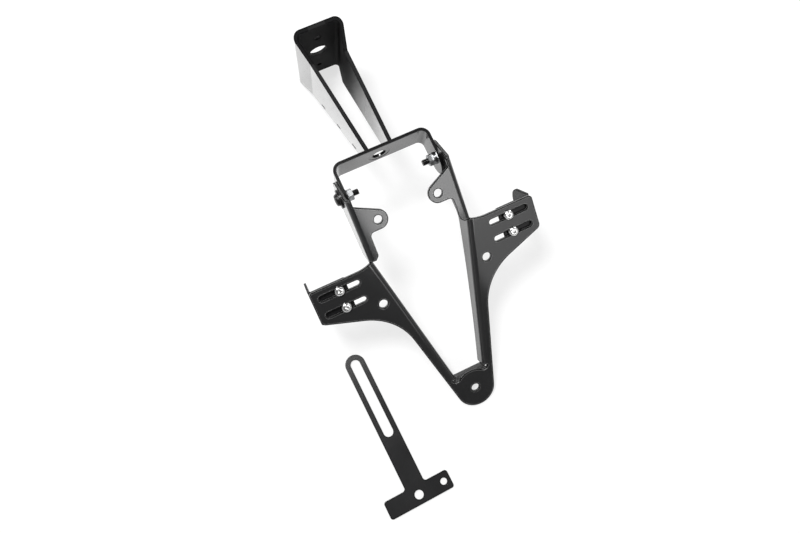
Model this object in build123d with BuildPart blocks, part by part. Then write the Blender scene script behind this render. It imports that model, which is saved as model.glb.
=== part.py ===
from build123d import *
from math import atan2, cos, radians, sin, tan
import os

# Tail tidy for a motorbike: a folded arm that bolts under the tail, a U strap welded across its
# foot, and a number plate holder that pivots on the strap. Two indicator brackets slide along
# slots in the holder's wings. A reflector bracket of the same kit lies beside it.
# It rests on the floor on the arm's back edge and the holder's bottom end. Millimetres, Z up.

# Sheet thicknesses
arm_sheet = 4
strap_sheet = 3
holder_sheet = 3
indicator_sheet = 2
reflector_sheet = 3

# Mounting arm
web_half_width = 28
web_depth = 112
web_tilt = 5.5
web_height = 171.4
web_front_reach = -5.5
arm_bend = 8
crease_depth = 31.6
crease_half_width = 20
foot_half_width = 13.4
arm_front_crease = 12.3
arm_back_crease = 17.7
arm_foot_front = 13.5
web_front_hole = 8
web_front_hole_in = 24.4
wiring_hole = 20
wiring_hole_in = 56
web_rear_hole = 5.5
web_rear_hole_in = 91
tie_slot_length = 10
tie_slot_width = 2.5
tie_slot_inset = 4
tie_slots_from_crease = (38, 83, 125)

# U strap at the foot of the arm
strap_half_width = 48
strap_height = 28
strap_half_depth = 15.5
strap_bend = 9

# Cable hole in the crossbar, in a shallow round seat
cable_hole = 13.4
cable_hole_forward = -2
cable_seat = 21
cable_seat_depth = 0.3

# Pivot bolts
pivot_bolt_size = 6
pivot_bolt_length = 20
pivot_head = 12
pivot_head_height = 3.3
pivot_socket = 4
outer_washer = 18
outer_washer_thickness = 1.6
inner_washer = 12
inner_washer_thickness = 1.6
pivot_nut_across_flats = 10
pivot_nut_height = 5
bolt_hole_play = 0.2
running_fit = 0.07

# Number plate holder, measured from the pivot: along the sheet and out from it
holder_tilt = 29.8
face_out = 32.5
holder_bend = 5
ear_radius = 16
ear_face_top = -3
neck_down = 57
flange_top_out = 6.5
flange_top_down = 64
flange_mid_out = 13.7
flange_mid_down = 125
flange_end_out = 15.9
window_end_down = 207
window_end_half_width = 15
window_flange_back = 22
corner_relief = 1.4
tab_top_down = 3.4
tab_hole = 8
tab_hole_in = 29.5
tab_hole_down = 22.2
tab_lobe = 9.2
tab_step_in = 41
tab_step_round = 4
tab_end_round = 3.5
wing_half_span = 112.8
wing_top_down = 60
wing_shoulder_out = 12
wing_shoulder_round = 40
wing_below_slots = 6.85
wing_slope = 19.9
wing_corner_round = 3.5
wing_tip_round = 5
waist_round = 57
wing_hole = 8.5
wing_hole_in = 53.6
wing_hole_below_slots = 12.6
indicator_slot_width = 5.5
indicator_slot_in = 66
indicator_slot_out = 106
upper_slot_down = 69
slot_spacing = 17.3
plate_end_down = 245
plate_end_round = 20
plate_end_hole = 8.4
leg_side_angle = 13.8

# Indicator brackets and their screws
bracket_inner = 77.5
bracket_outer = 113
bracket_bend = 4
tongue_width = 35
tongue_hole = 10
tongue_hole_out = 4.5
bracket_top_down = 60
screw_out = 86
screw_size = 5
screw_length = 12
screw_head = 9.5
screw_head_height = 2.75
screw_socket = 3
screw_hole_play = 0.25
screw_washer = 10
screw_washer_thickness = 1
screw_nut_across_flats = 8
screw_nut_height = 4

# Reflector bracket, flat on the floor beside the holder
reflector_arm_width = 20.8
reflector_slot_width = 10
reflector_slot_spacing = 74.5
reflector_slot_start = 58.1
reflector_head_width = 69.6
reflector_head_depth = 18.5
reflector_hole = 9
reflector_small_hole = 6.8
reflector_small_hole_in = 27.4
reflector_turn = 1.75
reflector_corner = 2.8
reflector_inner_corner = 3
reflector_left = 95.9
reflector_ahead = 266.9

# Fastener details shared by every size
washer_play = 0.4
nut_play = 0.1
corner_turning = 1.12
rim_share = 0.25
crown_in = 0.6
socket_share = 0.6
tip_share = 0.1

# Where the middle of the footprint lies on the origin
symmetry_x = 8.8
pivot_y = 49.264

# Places of the arm's corners seen from the side, from the pivot: up the strap and forward
web_slope = radians(web_tilt)
web_front = (web_height, web_front_reach)
web_back = (web_height + web_depth * sin(web_slope), web_front_reach - web_depth * cos(web_slope))

# The lean of the strap that brings the arm's back edge and the holder's end down to one floor
tilt = radians(holder_tilt)
end_out = face_out - holder_sheet
end_up = -plate_end_down * cos(tilt) - end_out * sin(tilt)
end_forward = -plate_end_down * sin(tilt) + end_out * cos(tilt)
lean = atan2(end_forward - web_back[1], web_back[0] - end_up)
pivot_z = -(web_back[0] * sin(lean) + web_back[1] * cos(lean))
face_lean = lean + tilt

pivot = Vector(symmetry_x, pivot_y, pivot_z)
middle = Plane.YZ.offset(symmetry_x)

# Strap planes: seen from the front, and seen from the side
strap_front = Plane(origin=pivot, x_dir=(1, 0, 0), z_dir=(0, -sin(lean), cos(lean)))
strap_side = Plane(origin=pivot, x_dir=strap_front.y_dir, z_dir=(1, 0, 0))

# Holder planes: its face, its side, and square across it with the normal down the sheet
face = Plane(origin=pivot, x_dir=(1, 0, 0), z_dir=(0, -sin(face_lean), cos(face_lean)))
face_side = Plane(origin=pivot, x_dir=face.y_dir, z_dir=(1, 0, 0))
face_cross = Plane(origin=pivot, x_dir=(1, 0, 0), z_dir=-face.y_dir)


def face_spot(x, down, out):
    """Plane parallel to the holder's face, at a spot measured from the pivot."""
    return Plane(origin=face.from_local_coords((x, -down, out)), x_dir=face.x_dir, z_dir=face.z_dir)


def beside(side, distance):
    """Plane square to the pivot axis, looking out at this distance on one side."""
    return Plane(origin=pivot + Vector(side * distance, 0, 0), x_dir=strap_front.y_dir, z_dir=(side, 0, 0))


def finish(piece, name):
    """Label a finished piece and write it out."""
    piece.part.label = name
    export_step(piece.part, f"parts/{name}.step")


os.makedirs("parts", exist_ok=True)

# Mounting arm: web, creased cheeks and bends as one profile, cut to its outline from the side.
# Only the left cheek has slots for cable ties.
web_along = strap_side.from_local_coords((sin(web_slope), -cos(web_slope), 0)) - pivot
arm_profile = Plane(
    origin=strap_side.from_local_coords((*web_front, 0)), x_dir=(1, 0, 0), z_dir=web_along
)
web_face = Plane(origin=arm_profile.origin, x_dir=(1, 0, 0), z_dir=-arm_profile.y_dir)
arm_length = web_height - strap_height
cheek_end = arm_length + strap_bend
cheek_taper = (crease_half_width - foot_half_width) / (arm_length - crease_depth)
cheek_end_half = crease_half_width - cheek_taper * (cheek_end - crease_depth)


def arm_point(along, inward):
    """Side view place of a point on the web's own axes, in strap coordinates."""
    up = web_front[0] + along * sin(web_slope) - inward * cos(web_slope)
    forward = web_front[1] - along * cos(web_slope) - inward * sin(web_slope)
    return (up, forward)


crease_front = arm_point(arm_front_crease, crease_depth)
crease_back = arm_point(web_depth - arm_back_crease, crease_depth)
foot_front = (strap_height, arm_foot_front)
foot_back = (strap_height, -strap_half_depth)
back_edge = Vector(*foot_back) - Vector(*crease_back)
back_edge_line = Plane(
    origin=strap_side.from_local_coords((*crease_back, 0)),
    x_dir=strap_side.from_local_coords((back_edge.X, back_edge.Y, 0)) - pivot,
    z_dir=strap_side.z_dir,
)

with BuildPart() as mounting_arm:
    with BuildSketch(arm_profile.offset(-cheek_end)):
        with BuildLine():
            FilletPolyline(
                (-cheek_end_half, cheek_end),
                (-crease_half_width, crease_depth),
                (-web_half_width, 0),
                (web_half_width, 0),
                (crease_half_width, crease_depth),
                (cheek_end_half, cheek_end),
                radius=arm_bend,
            )
            offset(amount=arm_sheet, side=Side.LEFT)
        make_face()
    extrude(amount=cheek_end + web_depth + cheek_end)
    with BuildSketch(strap_side):
        with BuildLine():
            Polyline(web_front, crease_front, foot_front, foot_back, crease_back, web_back, close=True)
        make_face()
    extrude(amount=web_depth, both=True, mode=Mode.INTERSECT)
    with BuildSketch(web_face):
        with Locations((0, web_front_hole_in)):
            Circle(web_front_hole / 2)
        with Locations((0, wiring_hole_in)):
            Circle(wiring_hole / 2)
        with Locations((0, web_rear_hole_in)):
            Circle(web_rear_hole / 2)
    extrude(amount=-crease_depth, mode=Mode.SUBTRACT)
    with BuildSketch(back_edge_line):
        with Locations([(along, -tie_slot_inset) for along in tie_slots_from_crease]):
            SlotOverall(tie_slot_length, tie_slot_width)
    extrude(amount=-web_depth, mode=Mode.SUBTRACT)

# U strap: a flat bar folded twice, with round ends about the pivot
with BuildPart() as pivot_strap:
    with BuildSketch(strap_front.offset(-strap_half_depth)):
        with BuildLine():
            FilletPolyline(
                (-strap_half_width, -strap_half_depth),
                (-strap_half_width, strap_height),
                (strap_half_width, strap_height),
                (strap_half_width, -strap_half_depth),
                radius=strap_bend,
            )
            offset(amount=strap_sheet, side=Side.RIGHT)
        make_face()
    extrude(amount=2 * strap_half_depth)
    with BuildSketch(strap_side):
        Circle(strap_half_depth)
        Rectangle(strap_height, 2 * strap_half_depth, align=(Align.MIN, Align.CENTER))
    extrude(amount=2 * strap_half_width, both=True, mode=Mode.INTERSECT)
    with BuildSketch(strap_side):
        Circle(pivot_bolt_size / 2 + bolt_hole_play)
    extrude(amount=2 * strap_half_width, both=True, mode=Mode.SUBTRACT)
    crossbar_face = Plane(
        origin=strap_side.from_local_coords((strap_height, cable_hole_forward, 0)),
        x_dir=(1, 0, 0),
        z_dir=strap_front.y_dir,
    )
    with BuildSketch(crossbar_face):
        Circle(cable_hole / 2)
    extrude(amount=-strap_sheet, mode=Mode.SUBTRACT)
    with BuildSketch(crossbar_face.offset(-strap_sheet)):
        Circle(cable_seat / 2)
    extrude(amount=cable_seat_depth, mode=Mode.SUBTRACT)

# Number plate holder: each side is one L section above the neck and one along the folded-in leg
taper = (strap_half_width - window_end_half_width) / (window_end_down - neck_down)
fold_in = atan2(taper, 1)
mitre_drop = holder_sheet * tan(fold_in / 2)
ear_outer = strap_half_width + holder_sheet
leg_line = Plane(
    origin=face.from_local_coords((strap_half_width, -neck_down, 0)),
    x_dir=face.x_dir * cos(fold_in) - face.y_dir * sin(fold_in),
    z_dir=face.x_dir * -sin(fold_in) - face.y_dir * cos(fold_in),
)


def leg_face(down, across=0):
    """Distance from the middle to the leg's window face, at a place down the sheet."""
    return strap_half_width - taper * (down - neck_down) + across / cos(fold_in)


wing_rise = tan(radians(wing_slope))
side_rise = tan(radians(leg_side_angle))
wing_outer_down = upper_slot_down + slot_spacing + wing_below_slots
wing_hole_down = upper_slot_down + slot_spacing + wing_hole_below_slots
plate_end_hole_down = plate_end_down - plate_end_round
tangent_x = plate_end_round * cos(radians(leg_side_angle))
tangent_down = plate_end_hole_down + plate_end_round * sin(radians(leg_side_angle))
waist_x = tangent_x + side_rise * (tangent_down - wing_outer_down - wing_rise * wing_half_span)
waist_x = waist_x / (1 - wing_rise * side_rise)
waist_down = wing_outer_down + wing_rise * (wing_half_span - waist_x)
wing_shoulder = strap_half_width + wing_shoulder_out
slot_middle = (indicator_slot_in + indicator_slot_out) / 2
bend_end = window_end_down + holder_bend
relief_x = leg_face(window_end_down, holder_bend / 2)
relief_down = window_end_down + corner_relief / 2
tab_base = ear_outer - holder_bend


def corner(sketch, x, down):
    """The corner of a sketch nearest to a place on the holder's face."""
    return sketch.vertices().sort_by_distance((x, -down))[0]


# The holder's flat face: wings, legs and bottom plate, less the window and its bends
with BuildSketch() as face_outline:
    with BuildLine():
        Polyline(
            (0, -neck_down),
            (strap_half_width, -neck_down),
            (ear_outer, -neck_down - mitre_drop),
            (wing_shoulder, -wing_top_down),
            (wing_half_span, -wing_top_down),
            (wing_half_span, -wing_outer_down),
            (waist_x, -waist_down),
            (tangent_x, -tangent_down),
            (0, -tangent_down),
            close=True,
        )
    make_face()
    fillet(corner(face_outline, wing_shoulder, wing_top_down), wing_shoulder_round)
    fillet(corner(face_outline, wing_half_span, wing_top_down), wing_corner_round)
    fillet(corner(face_outline, wing_half_span, wing_outer_down), wing_tip_round)
    fillet(corner(face_outline, waist_x, waist_down), waist_round)
    with Locations((0, -plate_end_hole_down)):
        Circle(plate_end_round)
    with BuildLine():
        Polyline(
            (0, 0),
            (leg_face(0, holder_bend), 0),
            (leg_face(relief_down, holder_bend), -relief_down),
            (relief_x, -relief_down),
            (relief_x, -bend_end),
            (0, -bend_end),
            close=True,
        )
    make_face(mode=Mode.SUBTRACT)
    mirror(about=Plane.YZ)

# The edge of the ear and leg seen from the side: a round lobe that runs down into a shallow flange
with BuildSketch() as side_outline:
    Circle(ear_radius)
    with BuildLine():
        Polyline(
            (-ear_face_top, face_out),
            (-flange_top_down, face_out),
            (-flange_top_down, flange_top_out),
        )
    make_hull()
    with BuildLine():
        ThreePointArc(
            (-flange_top_down, flange_top_out),
            (-flange_mid_down, flange_mid_out),
            (-window_end_down, flange_end_out),
        )
        Polyline(
            (-window_end_down, flange_end_out),
            (-window_end_down, face_out),
            (-flange_top_down, face_out),
            (-flange_top_down, flange_top_out),
        )
    make_face()

# The tab and ear seen from the front, with the strip that the ear stands in
with BuildSketch() as tab_outline:
    with Locations((tab_hole_in, -tab_hole_down)):
        Circle(tab_lobe)
    with BuildLine():
        Line((tab_base, -tab_top_down), (tab_base, -tab_hole_down - tab_lobe))
    make_hull()
    with BuildLine():
        Polyline(
            (tab_base, ear_radius),
            (tab_base, -tab_hole_down),
            (tab_step_in, -tab_hole_down),
            (tab_step_in, -neck_down + tab_end_round),
            (tab_step_in + tab_end_round, -neck_down),
            (strap_half_width, -neck_down),
            (ear_outer, -neck_down - mitre_drop),
            (ear_outer, ear_radius),
            close=True,
        )
    make_face()
    fillet(corner(tab_outline, tab_step_in, tab_hole_down + tab_lobe), tab_step_round)
    fillet(corner(tab_outline, tab_step_in, neck_down - tab_end_round), tab_step_round)
    with Locations((tab_hole_in, -tab_hole_down)):
        Circle(tab_hole / 2, mode=Mode.SUBTRACT)

with BuildPart() as holder_ear:
    with BuildSketch(face_cross.offset(-ear_radius)):
        with BuildLine():
            FilletPolyline(
                (tab_hole_in - tab_lobe, face_out),
                (ear_outer, face_out),
                (ear_outer, -ear_radius),
                radius=holder_bend,
            )
            offset(amount=holder_sheet, side=Side.RIGHT)
        make_face()
    extrude(amount=ear_radius + neck_down + mitre_drop)
    with BuildSketch(face):
        add(tab_outline.sketch)
    extrude(amount=2 * face_out, both=True, mode=Mode.INTERSECT)
    with BuildSketch(face_side):
        add(side_outline.sketch)
    extrude(amount=2 * ear_outer, both=True, mode=Mode.INTERSECT)

with BuildPart() as holder_leg:
    with BuildSketch(leg_line.offset(-holder_bend)):
        with BuildLine():
            FilletPolyline(
                (0, -ear_radius),
                (0, face_out),
                (holder_bend + holder_sheet, face_out),
                radius=holder_bend,
            )
            offset(amount=holder_sheet, side=Side.RIGHT)
        make_face()
    extrude(amount=window_end_down)
    with BuildSketch(face):
        with BuildLine():
            Polyline(
                (0, -neck_down),
                (strap_half_width, -neck_down),
                (ear_outer, -neck_down - mitre_drop),
                (wing_shoulder, -wing_top_down),
                (wing_shoulder, -relief_down),
                (0, -relief_down),
                close=True,
            )
        make_face()
    extrude(amount=2 * face_out, both=True, mode=Mode.INTERSECT)
    with BuildSketch(face_side):
        add(side_outline.sketch)
    extrude(amount=2 * ear_outer, both=True, mode=Mode.INTERSECT)

with BuildPart() as plate_holder:
    with BuildSketch(face.offset(face_out - holder_sheet)):
        add(face_outline.sketch)
    extrude(amount=holder_sheet)
    add([holder_ear.part, holder_leg.part])
    mirror([holder_ear.part, holder_leg.part], about=middle)
    with BuildSketch(face_side):
        with BuildLine():
            FilletPolyline(
                (-bend_end - holder_sheet, face_out),
                (-window_end_down, face_out),
                (-window_end_down, window_flange_back),
                radius=holder_bend,
            )
            offset(amount=holder_sheet, side=Side.RIGHT)
        make_face()
    extrude(amount=relief_x, both=True)
    with BuildSketch(face):
        with Locations((-relief_x, -relief_down), (relief_x, -relief_down)):
            Circle(corner_relief)
        with Locations((0, -plate_end_hole_down)):
            Circle(plate_end_hole / 2)
        with Locations((-wing_hole_in, -wing_hole_down), (wing_hole_in, -wing_hole_down)):
            Circle(wing_hole / 2)
        with Locations(
            [
                (side * slot_middle, -upper_slot_down - row * slot_spacing)
                for side in (-1, 1)
                for row in (0, 1)
            ]
        ):
            SlotOverall(indicator_slot_out - indicator_slot_in, indicator_slot_width)
    extrude(amount=2 * face_out, mode=Mode.SUBTRACT)
    with BuildSketch(face_side):
        Circle(pivot_bolt_size / 2 + running_fit)
    extrude(amount=2 * ear_outer, both=True, mode=Mode.SUBTRACT)

# Indicator bracket: a small angle behind each wing, with a round tongue turned back
tongue_middle_down = bracket_top_down + tongue_width / 2
wing_back = face_out - holder_sheet
screw_downs = {"upper": upper_slot_down, "lower": upper_slot_down + slot_spacing}
with BuildPart() as indicator_bracket_right:
    with BuildSketch(face_cross.offset(bracket_top_down)):
        with BuildLine():
            FilletPolyline(
                (bracket_inner, wing_back),
                (bracket_outer, wing_back),
                (bracket_outer, -tongue_width / 2),
                radius=bracket_bend,
            )
            offset(amount=indicator_sheet, side=Side.RIGHT)
        make_face()
    extrude(amount=tongue_width)
    with BuildSketch(face_side):
        with Locations((-tongue_middle_down, tongue_hole_out)):
            Circle(tongue_width / 2)
            Rectangle(tongue_width, face_out, align=(Align.CENTER, Align.MIN))
            Circle(tongue_hole / 2, mode=Mode.SUBTRACT)
    extrude(amount=2 * bracket_outer, both=True, mode=Mode.INTERSECT)
    with BuildSketch(face):
        with Locations([(screw_out, -down) for down in screw_downs.values()]):
            Circle(screw_size / 2 + screw_hole_play)
    extrude(amount=2 * face_out, mode=Mode.SUBTRACT)

with BuildPart() as indicator_bracket_left:
    mirror(indicator_bracket_right.part, about=middle)

# Reflector bracket: a flat T plate with a long slot, lying on the floor
reflector_spot = Plane(
    origin=(symmetry_x - reflector_left, pivot_y - reflector_ahead, 0),
    x_dir=(cos(radians(reflector_turn)), sin(radians(reflector_turn)), 0),
    z_dir=(0, 0, 1),
)
reflector_slot_end = reflector_slot_start + reflector_slot_spacing
half_head = reflector_head_width / 2
half_arm = reflector_arm_width / 2
with BuildPart() as reflector_bracket:
    with BuildSketch(reflector_spot) as reflector_outline:
        Rectangle(reflector_head_width, reflector_head_depth, align=(Align.CENTER, Align.MAX))
        fillet(reflector_outline.vertices(), reflector_corner)
        Rectangle(reflector_arm_width, reflector_slot_end, align=(Align.CENTER, Align.MIN))
        fillet(reflector_outline.vertices().group_by(Axis.Y)[-2], reflector_inner_corner)
        with Locations((0, reflector_slot_end)):
            Circle(half_arm)
        with Locations((0, reflector_slot_start + reflector_slot_spacing / 2)):
            SlotCenterToCenter(reflector_slot_spacing, reflector_slot_width, rotation=90, mode=Mode.SUBTRACT)
        with Locations((0, -reflector_head_depth / 2)):
            Circle(reflector_hole / 2, mode=Mode.SUBTRACT)
        with Locations((reflector_small_hole_in, -reflector_head_depth / 2)):
            Circle(reflector_small_hole / 2, mode=Mode.SUBTRACT)
    extrude(amount=reflector_sheet)


def ring(place, outer, inner, thickness):
    """A flat washer that stands on a plane."""
    with BuildPart() as washer:
        with BuildSketch(place):
            Circle(outer / 2)
            Circle(inner / 2, mode=Mode.SUBTRACT)
        extrude(amount=thickness)
    return washer


def nut(place, across_flats, bore, height):
    """A hexagon nut that stands on a plane, its corners turned down at both ends."""
    with BuildPart() as hexagon:
        with BuildSketch(place):
            RegularPolygon(across_flats / 2, 6, major_radius=False)
        extrude(amount=height)
        with BuildSketch(place):
            Circle(across_flats / 2 * corner_turning)
        extrude(amount=height, mode=Mode.INTERSECT)
        with BuildSketch(place):
            Circle(bore / 2)
        extrude(amount=height, mode=Mode.SUBTRACT)
    return hexagon


def button_screw(place, size, length, head, head_height, socket):
    """A button head screw: the head stands on a plane and the shank goes in behind it."""
    upright = Plane(origin=place.origin, x_dir=place.x_dir, z_dir=-place.y_dir)
    with BuildPart() as screw:
        with BuildSketch(upright):
            with BuildLine():
                Polyline(
                    (0, 0),
                    (head / 2, 0),
                    (head / 2, head_height * rim_share),
                    (head / 2 * crown_in, head_height),
                    (0, head_height),
                    close=True,
                )
            make_face()
        revolve(axis=Axis(place.origin, place.z_dir))
        with BuildSketch(place.offset(head_height)):
            RegularPolygon(socket / 2, 6, major_radius=False)
        extrude(amount=-head_height * socket_share, mode=Mode.SUBTRACT)
        with BuildSketch(place):
            Circle(size / 2)
        extrude(amount=-length)
        tip = screw.edges().group_by(lambda edge: place.to_local_coords(edge.center()).Z)[0]
        chamfer(tip, size * tip_share)
    return screw


finish(mounting_arm, "mounting_arm")
finish(pivot_strap, "pivot_strap")
finish(plate_holder, "plate_holder")
finish(indicator_bracket_right, "indicator_bracket_right")
finish(indicator_bracket_left, "indicator_bracket_left")
finish(reflector_bracket, "reflector_bracket")

# Fasteners on each side: the pivot bolt's stack, and the two indicator screws with theirs
strap_inside = strap_half_width - strap_sheet
for side, hand in ((1, "right"), (-1, "left")):
    washer_face = beside(side, ear_outer + outer_washer_thickness)
    bolt = button_screw(
        washer_face, pivot_bolt_size, pivot_bolt_length, pivot_head, pivot_head_height, pivot_socket
    )
    finish(bolt, f"pivot_bolt_{hand}")
    outer = ring(beside(side, ear_outer), outer_washer, pivot_bolt_size + washer_play, outer_washer_thickness)
    finish(outer, f"pivot_outer_washer_{hand}")
    inner_face = beside(side, strap_inside - inner_washer_thickness)
    inner = ring(inner_face, inner_washer, pivot_bolt_size + washer_play, inner_washer_thickness)
    finish(inner, f"pivot_inner_washer_{hand}")
    nut_face = beside(side, strap_inside - inner_washer_thickness - pivot_nut_height)
    pivot_nut = nut(nut_face, pivot_nut_across_flats, pivot_bolt_size + nut_play, pivot_nut_height)
    finish(pivot_nut, f"pivot_nut_{hand}")
    for level, down in screw_downs.items():
        head_face = face_spot(side * screw_out, down, face_out)
        screw = button_screw(
            head_face, screw_size, screw_length, screw_head, screw_head_height, screw_socket
        )
        finish(screw, f"indicator_screw_{hand}_{level}")
        washer_out = wing_back - indicator_sheet - screw_washer_thickness
        washer_face = face_spot(side * screw_out, down, washer_out)
        washer = ring(washer_face, screw_washer, screw_size + washer_play, screw_washer_thickness)
        finish(washer, f"indicator_washer_{hand}_{level}")
        nut_face = face_spot(side * screw_out, down, washer_out - screw_nut_height)
        screw_nut = nut(nut_face, screw_nut_across_flats, screw_size + nut_play, screw_nut_height)
        finish(screw_nut, f"indicator_nut_{hand}_{level}")
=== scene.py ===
from math import cos, pi, radians, sin

import bmesh
import bpy
from mathutils import Matrix, Vector


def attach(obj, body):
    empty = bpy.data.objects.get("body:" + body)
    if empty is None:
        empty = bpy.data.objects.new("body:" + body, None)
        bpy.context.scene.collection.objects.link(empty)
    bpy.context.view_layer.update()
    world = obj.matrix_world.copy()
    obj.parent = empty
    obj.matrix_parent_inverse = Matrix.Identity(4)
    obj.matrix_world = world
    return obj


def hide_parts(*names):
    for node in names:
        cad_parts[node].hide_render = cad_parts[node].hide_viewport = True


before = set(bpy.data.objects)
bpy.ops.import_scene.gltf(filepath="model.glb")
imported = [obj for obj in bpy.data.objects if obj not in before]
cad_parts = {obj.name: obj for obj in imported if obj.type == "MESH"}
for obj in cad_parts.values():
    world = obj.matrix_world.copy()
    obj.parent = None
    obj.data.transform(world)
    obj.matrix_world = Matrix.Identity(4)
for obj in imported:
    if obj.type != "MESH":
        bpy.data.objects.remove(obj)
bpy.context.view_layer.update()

# The camera stands above the holder's lower end and looks down, turned so that the arm points
# to the upper left. The pivot axis is the place that everything is measured from.
pivot = Vector((0.0088, 0.049264, 0.1075806))
camera_from_pivot = Vector((-0.10167, -0.18473, 0.56224))
camera_right = Vector((0.9035, -0.4270, 0.0384))
camera_up = Vector((0.40931, 0.88581, 0.21865))
camera_back = Vector((-0.12738, -0.18182, 0.97505))
camera_data = bpy.data.cameras.new("camera")
camera_data.lens = 29.04
camera_data.sensor_width = 36
camera_data.sensor_fit = "HORIZONTAL"
camera_data.clip_start = 0.01
camera = bpy.data.objects.new("camera", camera_data)
camera_turn = Matrix((camera_right, camera_up, camera_back)).transposed().to_4x4()
camera.matrix_world = Matrix.Translation(pivot + camera_from_pivot) @ camera_turn
bpy.context.scene.collection.objects.link(camera)
bpy.context.scene.camera = camera
bpy.context.scene.view_settings.view_transform = "Standard"

# The table is a sheet of matte white board, larger than the view. It shows as white where
# nothing shades it, and keeps the soft shadow that the object casts.
table_half_width = 2.5
board_white = 0.92
glow_where_seen = 0.7
glow_where_mirrored = 0.3


def plug(tree, socket, value):
    """Joins a socket to another one, or sets it to a plain value."""
    if isinstance(value, bpy.types.NodeSocket):
        tree.links.new(value, socket)
    else:
        socket.default_value = value


def reckon(tree, operation, *terms, clamp=False):
    """A product, difference or other reckoning of sockets and numbers."""
    node = tree.nodes.new("ShaderNodeMath")
    node.operation = operation
    node.use_clamp = clamp
    for socket, term in zip(node.inputs, terms):
        plug(tree, socket, term)
    return node.outputs[0]


def grey(level):
    """An even grey as a colour."""
    return (level, level, level, 1)


sheet = bmesh.new()
bmesh.ops.create_grid(sheet, x_segments=1, y_segments=1, size=table_half_width)
table_mesh = bpy.data.meshes.new("table")
sheet.to_mesh(table_mesh)
sheet.free()
table = bpy.data.objects.new("table", table_mesh)
bpy.context.scene.collection.objects.link(table)

board = bpy.data.materials.new("white_board")
board.use_nodes = True
board_tree = board.node_tree
board_tree.nodes.clear()
paper = board_tree.nodes.new("ShaderNodeBsdfDiffuse")
paper.inputs["Color"].default_value = grey(board_white)
glow = board_tree.nodes.new("ShaderNodeEmission")
glow.inputs["Color"].default_value = grey(1)
glow.inputs["Strength"].default_value = 1
ray = board_tree.nodes.new("ShaderNodeLightPath").outputs
seen = reckon(board_tree, "MAXIMUM", ray["Is Camera Ray"], ray["Is Transmission Ray"])
seen_glow = reckon(board_tree, "MULTIPLY", seen, glow_where_seen)
glow_share = reckon(
    board_tree, "MULTIPLY_ADD", ray["Is Glossy Ray"], glow_where_mirrored, seen_glow
)
paper_and_glow = board_tree.nodes.new("ShaderNodeMixShader")
plug(board_tree, paper_and_glow.inputs[0], glow_share)
plug(board_tree, paper_and_glow.inputs[1], paper.outputs[0])
plug(board_tree, paper_and_glow.inputs[2], glow.outputs[0])
board_out = board_tree.nodes.new("ShaderNodeOutputMaterial")
plug(board_tree, board_out.inputs["Surface"], paper_and_glow.outputs[0])
table_mesh.materials.append(board)


# The room is a white tent. Its walls are dimmer overhead, and in front, where the opening for
# the camera is. The camera itself sees plain white, and six soft boxes stand round the object.
def spread(tree, value, begin, end, at_begin=0, at_end=1, smooth=False):
    """A value stretched from one range to another, and held at its ends."""
    node = tree.nodes.new("ShaderNodeMapRange")
    node.interpolation_type = "SMOOTHSTEP" if smooth else "LINEAR"
    plug(tree, node.inputs["Value"], value)
    plug(tree, node.inputs["From Min"], begin)
    plug(tree, node.inputs["From Max"], end)
    plug(tree, node.inputs["To Min"], at_begin)
    plug(tree, node.inputs["To Max"], at_end)
    return node.outputs["Result"]


def blend(tree, kind, share, ground, top):
    """One number or colour laid over another, by its share."""
    node = tree.nodes.new("ShaderNodeMix")
    node.data_type = kind
    plug(tree, node.inputs["Factor"], share)
    plug(tree, node.inputs["A"], ground)
    plug(tree, node.inputs["B"], top)
    return node.outputs["Result"]


world = bpy.data.worlds.new("tent")
world.use_nodes = True
bpy.context.scene.world = world
sky = world.node_tree
sky.nodes.clear()
way_out = sky.nodes.new("ShaderNodeSeparateXYZ")
plug(sky, way_out.inputs[0], sky.nodes.new("ShaderNodeTexCoord").outputs["Generated"])
walls = spread(sky, way_out.outputs["Z"], begin=0.1, end=0.75, at_begin=0.6, at_end=0.1)
opening = spread(sky, way_out.outputs["Y"], begin=-0.9, end=-0.3, at_begin=0.25, at_end=1)
tent_light = reckon(sky, "MULTIPLY", walls, opening)
seen_by_camera = sky.nodes.new("ShaderNodeLightPath").outputs["Is Camera Ray"]
tent = sky.nodes.new("ShaderNodeBackground")
tent.inputs["Color"].default_value = grey(1)
plug(sky, tent.inputs["Strength"], blend(sky, "FLOAT", seen_by_camera, tent_light, 1))
sky_out = sky.nodes.new("ShaderNodeOutputWorld")
plug(sky, sky_out.inputs["Surface"], tent.outputs[0])


def soft_box(name, way, width, height, power, distance=1.4):
    """An oblong soft box that looks at the pivot from one way."""
    data = bpy.data.lights.new(name, "AREA")
    data.shape = "RECTANGLE"
    data.size = width
    data.size_y = height
    data.energy = power
    lamp = bpy.data.objects.new(name, data)
    toward = Vector(way).normalized()
    lamp.location = pivot + toward * distance
    lamp.rotation_euler = toward.to_track_quat("Z", "Y").to_euler()
    bpy.context.scene.collection.objects.link(lamp)


soft_box("lamp_above", (-0.24, 0.2, 0.95), width=0.4, height=0.4, power=24, distance=1.5)
soft_box("lamp_in_front", (0.205, -0.74, 0.645), width=0.4, height=0.27, power=2.8)
soft_box("lamp_front_right", (0.4, -0.78, 0.5), width=0.5, height=0.3, power=0.95)
soft_box("lamp_right", (1.0, 0.1, 0.75), width=0.12, height=0.7, power=3)
soft_box("lamp_behind_right", (0.8, 0.5, 0.33), width=0.3, height=0.5, power=5)
soft_box("lamp_behind_left", (-0.6, 0.5, 0.6), width=0.2, height=0.4, power=3)


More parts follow.
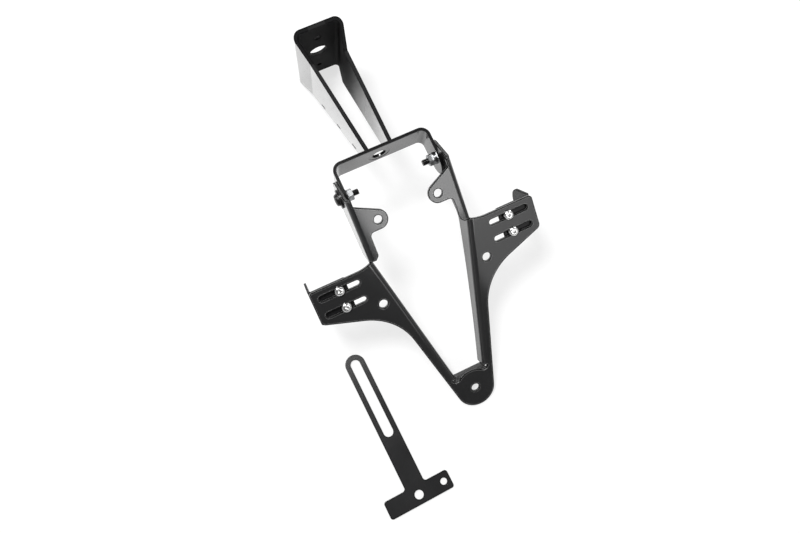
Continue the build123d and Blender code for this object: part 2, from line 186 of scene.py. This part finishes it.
# Mounting arm: 4 mm steel sheet, folded to a web with two creased cheeks, then powder coated
# in gloss black. The coat is a little uneven, like the skin of an orange, and turns matt inside
# the box at the arm's closed end, where the powder reaches thinly.
def new_group(name, inputs, outputs):
    """A node group with named inputs, each with a start value, and named outputs."""
    group = bpy.data.node_groups.new(name, "ShaderNodeTree")
    for label, value in inputs.items():
        kind = "NodeSocketColor" if isinstance(value, tuple) else "NodeSocketFloat"
        socket = group.interface.new_socket(label, in_out="INPUT", socket_type=kind)
        socket.default_value = value
    for label in outputs:
        kind = "NodeSocketColor" if label == "Colour" else "NodeSocketFloat"
        group.interface.new_socket(label, in_out="OUTPUT", socket_type=kind)
    given = group.nodes.new("NodeGroupInput").outputs
    found = group.nodes.new("NodeGroupOutput").inputs
    return group, given, found


def noise(tree, place, scale, detail, roughness=0.5):
    """A cloudy pattern, from 0 to 1."""
    node = tree.nodes.new("ShaderNodeTexNoise")
    plug(tree, node.inputs["Vector"], place)
    plug(tree, node.inputs["Scale"], scale)
    plug(tree, node.inputs["Detail"], detail)
    plug(tree, node.inputs["Roughness"], roughness)
    return node.outputs["Fac"]


def coat_surface():
    """The skin of a powder coat: its peel, a film of dust, and a dull rim along the cut edges,
    painted near black as shade, with a thin lighter line beside it as a painted highlight."""
    start = {
        "Colour": (0.012, 0.012, 0.013, 1), "Dust Colour": grey(0.03), "Roughness": 0.3,
        "Peel Scale": 700, "Peel Depth": 0.3, "Dust": 0.3, "Gloss": 1,
        "Rim Width": 0.0024, "Painted Highlight Line": 0.5, "Rim Dulling": 1,
    }
    results = ("Colour", "Roughness", "Height", "Gloss")
    group, given, found = new_group("coat_surface", start, results)
    place = group.nodes.new("ShaderNodeTexCoord").outputs["Object"]

    peel = noise(group, place, given["Peel Scale"], detail=2)
    plug(group, found["Height"], reckon(group, "MULTIPLY", peel, given["Peel Depth"]))

    patches = noise(group, place, scale=35, detail=5, roughness=0.6)
    clouds = spread(group, patches, begin=0.35, end=0.75)
    grains = noise(group, place, scale=1500, detail=2)
    specks = spread(group, grains, begin=0.62, end=0.72)
    speck_share = 0.5
    dust = reckon(group, "MULTIPLY_ADD", specks, speck_share, clouds)
    film = reckon(group, "MULTIPLY", dust, given["Dust"], clamp=True)
    dusted = blend(group, "RGBA", film, given["Colour"], given["Dust Colour"])

    rounded = group.nodes.new("ShaderNodeBevel")
    rounded.samples = 8
    plug(group, rounded.inputs["Radius"], given["Rim Width"])
    true_face = group.nodes.new("ShaderNodeNewGeometry")
    alike = group.nodes.new("ShaderNodeVectorMath")
    alike.operation = "DOT_PRODUCT"
    plug(group, alike.inputs[0], rounded.outputs["Normal"])
    plug(group, alike.inputs[1], true_face.outputs["Normal"])
    # Painted shade blackens the outer rim; a painted highlight lays a lighter band just inside it.
    near_rim = spread(group, alike.outputs["Value"], begin=0.9985, end=0.99)
    at_rim = spread(group, alike.outputs["Value"], begin=0.985, end=0.965)
    line = reckon(group, "SUBTRACT", near_rim, at_rim, clamp=True)
    painted_highlight_share = reckon(group, "MULTIPLY", line, given["Painted Highlight Line"])
    painted_highlight_grey, painted_shade_black = grey(0.16), grey(0.002)
    with_painted_highlight = blend(group, "RGBA", painted_highlight_share, dusted, painted_highlight_grey)
    plug(group, found["Colour"], blend(group, "RGBA", at_rim, with_painted_highlight, painted_shade_black))

    dulled = reckon(group, "MULTIPLY", at_rim, given["Rim Dulling"])
    rim_gloss_loss, rim_roughening, dust_roughening = 0.9, 0.35, 0.25
    gloss_left = reckon(group, "MULTIPLY_ADD", dulled, -rim_gloss_loss, 1)
    plug(group, found["Gloss"], reckon(group, "MULTIPLY", gloss_left, given["Gloss"]))
    rough_film = reckon(group, "MULTIPLY_ADD", film, dust_roughening, given["Roughness"])
    rough_rim = reckon(group, "MULTIPLY_ADD", dulled, rim_roughening, rough_film)
    plug(group, found["Roughness"], rough_rim)
    return group


def with_skin(name, group, values, relief_strength, relief_height):
    """A material that takes its colour, roughness and fine relief from a surface group."""
    material = bpy.data.materials.new(name)
    material.use_nodes = True
    tree = material.node_tree
    shader = tree.nodes["Principled BSDF"]
    skin = tree.nodes.new("ShaderNodeGroup")
    skin.node_tree = group
    for label, value in values.items():
        skin.inputs[label].default_value = value
    relief = tree.nodes.new("ShaderNodeBump")
    relief.inputs["Strength"].default_value = relief_strength
    relief.inputs["Distance"].default_value = relief_height
    plug(tree, relief.inputs["Height"], skin.outputs["Height"])
    plug(tree, shader.inputs["Normal"], relief.outputs["Normal"])
    plug(tree, shader.inputs["Base Color"], skin.outputs["Colour"])
    plug(tree, shader.inputs["Roughness"], skin.outputs["Roughness"])
    return material, shader, skin


coat_group = coat_surface()


def powder_coat(name, black, roughness, gloss, peel_scale, dust, painted_highlight_line, dulling, ior):
    """A black powder coat with its own depth of black, gloss and skin."""
    hint_of_blue = 0.0005
    values = {
        "Colour": (black, black, black + hint_of_blue, 1), "Roughness": roughness,
        "Peel Scale": peel_scale, "Peel Depth": 0.6, "Dust": dust, "Gloss": gloss,
        "Painted Highlight Line": painted_highlight_line, "Rim Dulling": dulling,
    }
    material, shader, skin = with_skin(
        name, coat_group, values, relief_strength=0.25, relief_height=0.0002
    )
    shader.inputs["IOR"].default_value = ior
    shader.inputs["Coat Roughness"].default_value = 0.09
    plug(material.node_tree, shader.inputs["Coat Weight"], skin.outputs["Gloss"])
    return material


def thin_inside_box():
    """Where the coat is thin and matt: on the insides of cheeks and web and in the web's holes,
    more and more toward the closed end. It also gives the gloss that is left."""
    start = {"Gloss": 1, "Middle": pivot.x, "Open End": 0.105, "Closed End": 0.19}
    group, given, found = new_group("thin_inside_box", start, ("Gloss", "Matt"))
    point = group.nodes.new("ShaderNodeTexCoord").outputs
    spot = group.nodes.new("ShaderNodeSeparateXYZ")
    facing = group.nodes.new("ShaderNodeSeparateXYZ")
    plug(group, spot.inputs[0], point["Object"])
    plug(group, facing.inputs[0], point["Normal"])
    off_middle = reckon(group, "SUBTRACT", spot.outputs["X"], given["Middle"])
    outward = reckon(group, "MULTIPLY", off_middle, facing.outputs["X"])
    facing_middle, facing_open_end = -0.004, -0.6
    cheek = reckon(group, "LESS_THAN", outward, facing_middle)
    web = reckon(group, "LESS_THAN", facing.outputs["Y"], facing_open_end)
    most_turn_of_bore, most_reach_of_bore = 0.7, 0.009
    off_web = reckon(group, "COMPARE", facing.outputs["Y"], 0, most_turn_of_bore)
    near_middle = reckon(group, "COMPARE", off_middle, 0, most_reach_of_bore)
    bore = reckon(group, "MULTIPLY", off_web, near_middle)
    web_or_bore = reckon(group, "MAXIMUM", web, bore)
    inside = reckon(group, "MAXIMUM", cheek, web_or_bore)
    deep = spread(group, spot.outputs["Y"], given["Open End"], given["Closed End"], smooth=True)
    matt = reckon(group, "MULTIPLY", inside, deep)
    plug(group, found["Matt"], matt)
    gloss_left = reckon(group, "SUBTRACT", 1, matt)
    plug(group, found["Gloss"], reckon(group, "MULTIPLY", gloss_left, given["Gloss"]))
    return group


def dress(name, material):
    """Gives a piece of the frame its finish."""
    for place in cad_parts[name].material_slots:
        place.material = material


def break_edges(name, width, steps=2):
    """Rounds a piece's cut edges a little, as tumbling and a thick coat do."""
    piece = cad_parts[name]
    weld = piece.modifiers.new("weld", "WELD")
    weld.merge_threshold = 0.000002
    flat = piece.modifiers.new("flat", "DECIMATE")
    flat.decimate_type = "DISSOLVE"
    flat.angle_limit = radians(0.3)
    round_over = piece.modifiers.new("round_over", "BEVEL")
    round_over.width = width
    round_over.segments = steps
    round_over.limit_method = "ANGLE"
    round_over.angle_limit = radians(40)
    round_over.miter_outer = "MITER_ARC"
    even = piece.modifiers.new("even", "WEIGHTED_NORMAL")
    even.weight = 100
    even.keep_sharp = False


arm_coat = powder_coat(
    "arm_coat", black=0.008, roughness=0.14, gloss=1, peel_scale=650, dust=0.18,
    painted_highlight_line=0, dulling=0, ior=1.3,
)
matt_roughening = 0.5
arm_tree = arm_coat.node_tree
arm_shader = arm_tree.nodes["Principled BSDF"]
coat_gloss = arm_shader.inputs["Coat Weight"].links[0].from_socket
coat_roughness = arm_shader.inputs["Roughness"].links[0].from_socket
thin = arm_tree.nodes.new("ShaderNodeGroup")
thin.node_tree = thin_inside_box()
plug(arm_tree, thin.inputs["Gloss"], coat_gloss)
plug(arm_tree, arm_shader.inputs["Coat Weight"], thin.outputs["Gloss"])
duller = reckon(arm_tree, "MULTIPLY_ADD", thin.outputs["Matt"], matt_roughening, coat_roughness)
plug(arm_tree, arm_shader.inputs["Roughness"], duller)
dress("mounting_arm", arm_coat)
break_edges("mounting_arm", 0.0009, steps=3)

# U strap: a 3 mm flat bar folded twice and welded across the foot of the arm. Its black coat is
# a little less glossy than the arm's.
strap_coat = powder_coat(
    "strap_coat", black=0.004, roughness=0.17, gloss=0.6, peel_scale=700, dust=0.22,
    painted_highlight_line=0, dulling=0.5, ior=1.3,
)
dress("pivot_strap", strap_coat)
break_edges("pivot_strap", 0.0007)

# Pivot bolts, washers and nuts: black M6 button heads on 18 mm black washers outside the ears,
# plain zinc washers and nuts inside the strap. They hang the holder and clamp its tilt.
m6_bolt = dict(size=0.006, length=0.020, head=0.012, head_height=0.0033, socket=0.004, pitch=0.001)
m6_nut = dict(across_flats=0.010, bore=0.0061, height=0.005)
m6_washer = 0.0016
ear_outside, strap_inside = 0.051, 0.045


def metal_surface():
    """Fine scratches and mottling of a plated or blackened metal."""
    start = {
        "Colour": (0.7, 0.7, 0.69, 1), "Stain Colour": (0.45, 0.45, 0.44, 1),
        "Roughness": 0.25, "Scratch Depth": 0.4,
    }
    group, given, found = new_group("metal_surface", start, ("Colour", "Roughness", "Height"))
    place = group.nodes.new("ShaderNodeTexCoord").outputs["Object"]
    drawn_out = group.nodes.new("ShaderNodeMapping")
    drawn_out.inputs["Scale"].default_value = (1, 6, 1)
    plug(group, drawn_out.inputs["Vector"], place)
    scratches = noise(group, drawn_out.outputs["Vector"], scale=900, detail=3)
    relief = reckon(group, "MULTIPLY", scratches, given["Scratch Depth"])
    plug(group, found["Height"], relief)
    mottle = noise(group, place, scale=420, detail=4)
    stain = spread(group, mottle, begin=0.4, end=0.7)
    plug(group, found["Colour"], blend(group, "RGBA", stain, given["Colour"], given["Stain Colour"]))
    stain_roughening = 0.12
    stained = reckon(group, "MULTIPLY_ADD", stain, stain_roughening, given["Roughness"])
    plug(group, found["Roughness"], stained)
    return group


metal_group = metal_surface()


def fastener_metal(name, colour, stain, roughness, metallic, scratches):
    """A plated or blackened metal for bolts, nuts and washers."""
    values = {
        "Colour": (*colour, 1), "Stain Colour": (*stain, 1),
        "Roughness": roughness, "Scratch Depth": scratches,
    }
    material, shader, skin = with_skin(
        name, metal_group, values, relief_strength=0.2, relief_height=0.0001
    )
    shader.inputs["Metallic"].default_value = metallic
    return material


def basis(origin, axis):
    """A frame at a place, its third axis along a fastener."""
    along = Vector(axis).normalized()
    lies_along_x = abs(along.x) > 0.9
    side = Vector((0, 1, 0)) if lies_along_x else Vector((1, 0, 0))
    side = (side - along * side.dot(along)).normalized()
    across = along.cross(side)
    turned = Matrix((side, across, along)).transposed().to_4x4()
    return Matrix.Translation(Vector(origin)) @ turned


def hexagon(across_flats):
    """Radius of a hexagon at any angle, with a corner at angle nought."""
    def radius(angle, height):
        return across_flats / 2 / cos(angle % (pi / 3) - pi / 6)
    return radius


def stacked_rings(name, rings, place, closed=False):
    """A skin over rings of points, each ring a radius and a height, or a way to find them."""
    turns = 48
    sharpest_smooth_edge = radians(35)
    shape = bmesh.new()
    loops = []
    for radius, height in rings:
        loop = []
        for step in range(turns):
            angle = 2 * pi * step / turns
            reach = radius(angle, height) if callable(radius) else radius
            rise = height(angle) if callable(height) else height
            loop.append(shape.verts.new((reach * cos(angle), reach * sin(angle), rise)))
        loops.append(loop)
    pairs = list(zip(loops, loops[1:]))
    if closed:
        pairs.append((loops[-1], loops[0]))
    for low, high in pairs:
        for step in range(turns):
            after = (step + 1) % turns
            shape.faces.new((low[step], low[after], high[after], high[step]))
    if not closed:
        shape.faces.new(list(reversed(loops[0])))
        shape.faces.new(loops[-1])
    bmesh.ops.recalc_face_normals(shape, faces=shape.faces)
    for skin in shape.faces:
        skin.smooth = True
    for edge in shape.edges:
        if len(edge.link_faces) == 2 and edge.calc_face_angle(0) > sharpest_smooth_edge:
            edge.smooth = False
    mesh = bpy.data.meshes.new(name)
    shape.to_mesh(mesh)
    shape.free()
    mesh.transform(place)
    piece = bpy.data.objects.new(name, mesh)
    bpy.context.scene.collection.objects.link(piece)
    return piece


def button_screw(name, place, size, length, head, head_height, socket, pitch):
    """A button head screw with a hexagon socket and a rolled thread, its head along the axis."""
    flat_top, dome_foot = head / 2 * 0.52, head / 2 * 0.96
    shoulder, rim_top, rim_chamfer = head_height * 0.32, head_height * 0.2, head_height * 0.06
    socket_floor, socket_cone = head_height * 0.4, socket * 0.12
    cone_tip, socket_foot, socket_mouth = socket * 0.1, socket * 0.98, socket * 1.06
    soft_corner = 0.0002
    thread_start = 0.0004
    thread_depth = pitch * 0.58
    flank_steepness, crest_width = 1.25, 0.1
    steps_a_turn, dome_steps = 6, 8
    tip = size * 0.1

    def thread(angle, height):
        wave = ((height / pitch) - angle / (2 * pi)) % 1
        toward_root = 1 - abs(2 * wave - 1)
        groove = min(1, max(0, flank_steepness * toward_root - crest_width))
        tapered = size / 2 - tip + tip * min(1, (height + length) / tip)
        return min(size / 2 - thread_depth * groove, tapered)

    rings = [
        (cone_tip, socket_floor - socket_cone),
        (hexagon(socket_foot), socket_floor),
        (hexagon(socket), socket_floor + soft_corner),
        (hexagon(socket), head_height - soft_corner),
        (hexagon(socket_mouth), head_height),
        (flat_top, head_height),
    ]
    for step in range(1, dome_steps + 1):
        turn = step / dome_steps * pi / 2
        reach = flat_top + (dome_foot - flat_top) * sin(turn)
        rings.append((reach, shoulder + (head_height - shoulder) * cos(turn)))
    rings += [
        (head / 2, rim_top),
        (head / 2, rim_chamfer),
        (head / 2 - rim_chamfer, 0),
        (size / 2 + soft_corner, 0),
        (size / 2, -soft_corner),
    ]
    count = int((length - thread_start) / pitch * steps_a_turn)
    for step in range(count + 1):
        rings.append((thread, -thread_start - (length - thread_start) * step / count))
    return stacked_rings(name, list(reversed(rings)), place)


def nut(name, place, across_flats, bore, height):
    """A hexagon nut with its corners turned down at both ends and its bore countersunk."""
    flat = across_flats / 2
    corner = flat / cos(pi / 6)
    corner_drop = (corner - flat) * 0.58
    seat = flat * 0.98
    sink = 0.0004
    hair = 0.00003
    sides = hexagon(across_flats)

    def fall(angle):
        return corner_drop * (sides(angle, 0) - flat) / (corner - flat) + hair

    rings = [
        (bore / 2, sink),
        (bore / 2 + sink, 0),
        (seat, 0),
        (sides, fall),
        (sides, lambda angle: height - fall(angle)),
        (seat, height),
        (bore / 2 + sink, height),
        (bore / 2, height - sink),
    ]
    return stacked_rings(name, rings, place, closed=True)


black_steel = fastener_metal(
    "black_steel", colour=(0.008, 0.008, 0.0085), stain=(0.016, 0.015, 0.014),
    roughness=0.22, metallic=0.0, scratches=0.5,
)
zinc = fastener_metal(
    "zinc", colour=(0.36, 0.37, 0.38), stain=(0.24, 0.24, 0.24),
    roughness=0.3, metallic=1.0, scratches=0.5,
)
for side, hand in ((1, "right"), (-1, "left")):
    out = Vector((side, 0, 0))
    head_seat = pivot + out * (ear_outside + m6_washer)
    bolt = button_screw(f"pivot_screw_{hand}", basis(head_seat, out), **m6_bolt)
    bolt.data.materials.append(black_steel)
    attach(bolt, "upper_bracket")
    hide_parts(f"pivot_bolt_{hand}")
    nut_end = pivot + out * (strap_inside - m6_washer - m6_nut["height"])
    turned_nut = nut(f"pivot_hex_nut_{hand}", basis(nut_end, out), **m6_nut)
    turned_nut.data.materials.append(zinc)
    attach(turned_nut, "upper_bracket")
    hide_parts(f"pivot_nut_{hand}")
    for washer, metal in (("outer", black_steel), ("inner", zinc)):
        dress(f"pivot_{washer}_washer_{hand}", metal)
        break_edges(f"pivot_{washer}_washer_{hand}", 0.0002)

# Number plate holder: one 3 mm sheet with ears, tabs, slotted wings and two legs whose window
# edges are folded back. It is the largest piece, and swings on the pivot bolts.
# Its coat has the strongest painted highlight lines along the cut edges.
holder_coat = powder_coat(
    "holder_coat", black=0.017, roughness=0.2, gloss=0.68, peel_scale=600, dust=0.25,
    painted_highlight_line=1.3, dulling=1, ior=1.15,
)
dress("plate_holder", holder_coat)
break_edges("plate_holder", 0.0007)

# Indicator brackets: small 2 mm angles behind the wings, each with a round tongue for the
# indicator's stalk. They are coated like the holder, but duller.
# Their coat has faint painted highlight lines along the cut edges.
bracket_coat = powder_coat(
    "bracket_coat", black=0.011, roughness=0.26, gloss=0.15, peel_scale=750, dust=0.1,
    painted_highlight_line=0.3, dulling=1, ior=1.15,
)
for hand in ("right", "left"):
    dress(f"indicator_bracket_{hand}", bracket_coat)
    break_edges(f"indicator_bracket_{hand}", 0.0004)

# Indicator screws, washers and nuts: M5 button heads in bright zinc through the wing's slots,
# with a plain zinc washer and nut behind each bracket. They clamp it where it is slid to.
m5_screw = dict(size=0.005, length=0.012, head=0.0095, head_height=0.00275, socket=0.003, pitch=0.0008)
m5_nut = dict(across_flats=0.008, bore=0.0051, height=0.004)
m5_washer = 0.001
holder_sheet, bracket_sheet = 0.003, 0.002
slot_middle = 0.086
slot_down = {"upper": 0.069, "lower": 0.0863}
strap_lean, wing_fold = 0.0508232, radians(29.8)
wing_slope = strap_lean + wing_fold
wing_above_pivot = 0.0325
clear_of_wing = 0.00001
up_the_wing = Vector((0, cos(wing_slope), sin(wing_slope)))
out_of_wing = Vector((0, -sin(wing_slope), cos(wing_slope)))
bright_zinc = fastener_metal(
    "bright_zinc", colour=(0.86, 0.86, 0.86), stain=(0.66, 0.66, 0.65),
    roughness=0.22, metallic=1.0, scratches=0.45,
)
back_of_nut = wing_above_pivot - holder_sheet - bracket_sheet - m5_washer - m5_nut["height"]
for side, hand in ((1, "right"), (-1, "left")):
    for level, down in slot_down.items():
        under = pivot + Vector((side * slot_middle, 0, 0)) - up_the_wing * down
        head_seat = under + out_of_wing * (wing_above_pivot + clear_of_wing)
        screw = button_screw(f"slot_screw_{hand}_{level}", basis(head_seat, out_of_wing), **m5_screw)
        screw.data.materials.append(bright_zinc)
        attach(screw, f"indicator_mount_{hand}")
        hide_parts(f"indicator_screw_{hand}_{level}")
        nut_end = under + out_of_wing * back_of_nut
        slot_nut = nut(f"slot_hex_nut_{hand}_{level}", basis(nut_end, out_of_wing), **m5_nut)
        slot_nut.data.materials.append(zinc)
        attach(slot_nut, f"indicator_mount_{hand}")
        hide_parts(f"indicator_nut_{hand}_{level}")
        dress(f"indicator_washer_{hand}_{level}", zinc)
        break_edges(f"indicator_washer_{hand}_{level}", 0.00015)

# Reflector bracket: a flat T plate with a long slot, laid on the table beside the holder. It is
# cut from 3 mm sheet and coated like the rest, with little gloss.
reflector_coat = powder_coat(
    "reflector_coat", black=0.014, roughness=0.22, gloss=0.2, peel_scale=650, dust=0.2,
    painted_highlight_line=0, dulling=0, ior=1.35,
)
dress("reflector_bracket", reflector_coat)
break_edges("reflector_bracket", 0.0007)

bpy.context.view_layer.update()
